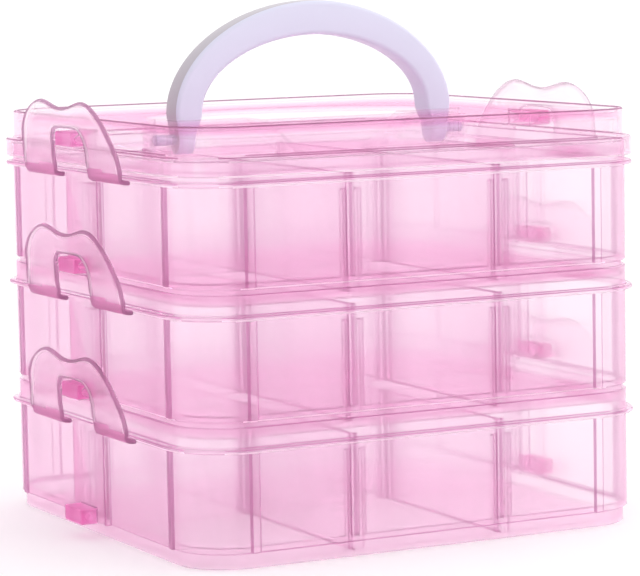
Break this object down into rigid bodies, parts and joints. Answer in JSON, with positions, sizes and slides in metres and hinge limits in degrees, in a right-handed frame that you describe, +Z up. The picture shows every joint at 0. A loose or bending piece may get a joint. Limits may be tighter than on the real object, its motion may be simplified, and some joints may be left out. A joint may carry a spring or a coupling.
{
  "type": "stacking organizer box",
  "caption": "Translucent stacking organizer box with nested trays, loose dividers, side clips, a snap lid and a folding carry handle.",
  "frame": {"origin": "under the middle of the box, on the plane it stands on", "axes": "+X to the right along the front, +Y to the back, +Z up"},
  "size_m": [0.1684, 0.1494, 0.1589],
  "materials": {
    "tray_plastic": "translucent gloss",
    "divider_plastic": "translucent gloss",
    "lid_plastic": "translucent gloss",
    "clip_plastic": "translucent gloss",
    "handle_plastic": "pearl gloss"
  },
  "bodies": {
    "base": {"tray_bottom": "tray_plastic", "partition_bottom": "divider_plastic", "divider_bottom_front_left": "divider_plastic", "divider_bottom_front_right": "divider_plastic", "divider_bottom_back_left": "divider_plastic", "divider_bottom_back_right": "divider_plastic"},
    "middle_tray": {"tray_middle": "tray_plastic", "partition_middle": "divider_plastic", "divider_middle_front_left": "divider_plastic", "divider_middle_front_right": "divider_plastic", "divider_middle_back_left": "divider_plastic", "divider_middle_back_right": "divider_plastic"},
    "top_tray": {"tray_top": "tray_plastic", "partition_top": "divider_plastic", "divider_top_front_left": "divider_plastic", "divider_top_front_right": "divider_plastic", "divider_top_back_left": "divider_plastic", "divider_top_back_right": "divider_plastic"},
    "lid": {"lid": "lid_plastic"},
    "handle": {"handle": "handle_plastic"},
    "clip_middle_left": {"clip_middle_left": "clip_plastic"},
    "clip_middle_right": {"clip_middle_right": "clip_plastic"},
    "clip_top_left": {"clip_top_left": "clip_plastic"},
    "clip_top_right": {"clip_top_right": "clip_plastic"},
    "clip_lid_left": {"clip_lid_left": "clip_plastic"},
    "clip_lid_right": {"clip_lid_right": "clip_plastic"}
  },
  "joints": [
    {"name": "middle_lift", "type": "slide", "parent": "base", "child": "middle_tray", "axis": [0, 0, 1], "range_m": [0, 0.005]},
    {"name": "top_lift", "type": "slide", "parent": "middle_tray", "child": "top_tray", "axis": [0, 0, 1], "range_m": [0, 0.005]},
    {"name": "lid_lift", "type": "slide", "parent": "top_tray", "child": "lid", "axis": [0, 0, 1], "range_m": [0, 0.005]},
    {"name": "handle_fold", "type": "hinge", "parent": "lid", "child": "handle", "pos_m": [0, 0, 0.118], "axis": [-1, 0, 0], "range_deg": [0, 90]},
    {"name": "clip_middle_left_turn", "type": "hinge", "parent": "middle_tray", "child": "clip_middle_left", "pos_m": [-0.0802, 0, 0.0445], "axis": [0, 1, 0], "range_deg": [0, 18.05]},
    {"name": "clip_middle_right_turn", "type": "hinge", "parent": "middle_tray", "child": "clip_middle_right", "pos_m": [0.0802, 0, 0.0445], "axis": [0, -1, 0], "range_deg": [0, 18.05]},
    {"name": "clip_top_left_turn", "type": "hinge", "parent": "top_tray", "child": "clip_top_left", "pos_m": [-0.0802, 0, 0.0821], "axis": [0, 1, 0], "range_deg": [0, 18.05]},
    {"name": "clip_top_right_turn", "type": "hinge", "parent": "top_tray", "child": "clip_top_right", "pos_m": [0.0802, 0, 0.0821], "axis": [0, -1, 0], "range_deg": [0, 18.05]},
    {"name": "clip_lid_left_turn", "type": "hinge", "parent": "lid", "child": "clip_lid_left", "pos_m": [-0.0802, 0, 0.1197], "axis": [0, 1, 0], "range_deg": [0, 18.05]},
    {"name": "clip_lid_right_turn", "type": "hinge", "parent": "lid", "child": "clip_lid_right", "pos_m": [0.0802, 0, 0.1197], "axis": [0, -1, 0], "range_deg": [0, 18.05]}
  ],
  "couplings": [
    {"joint": "clip_middle_left_turn", "follows": "middle_lift", "rad_per_m": 62.83},
    {"joint": "clip_middle_right_turn", "follows": "middle_lift", "rad_per_m": 62.83},
    {"joint": "clip_top_left_turn", "follows": "top_lift", "rad_per_m": 62.83},
    {"joint": "clip_top_right_turn", "follows": "top_lift", "rad_per_m": 62.83},
    {"joint": "clip_lid_left_turn", "follows": "lid_lift", "rad_per_m": 62.83},
    {"joint": "clip_lid_right_turn", "follows": "lid_lift", "rad_per_m": 62.83}
  ]
}
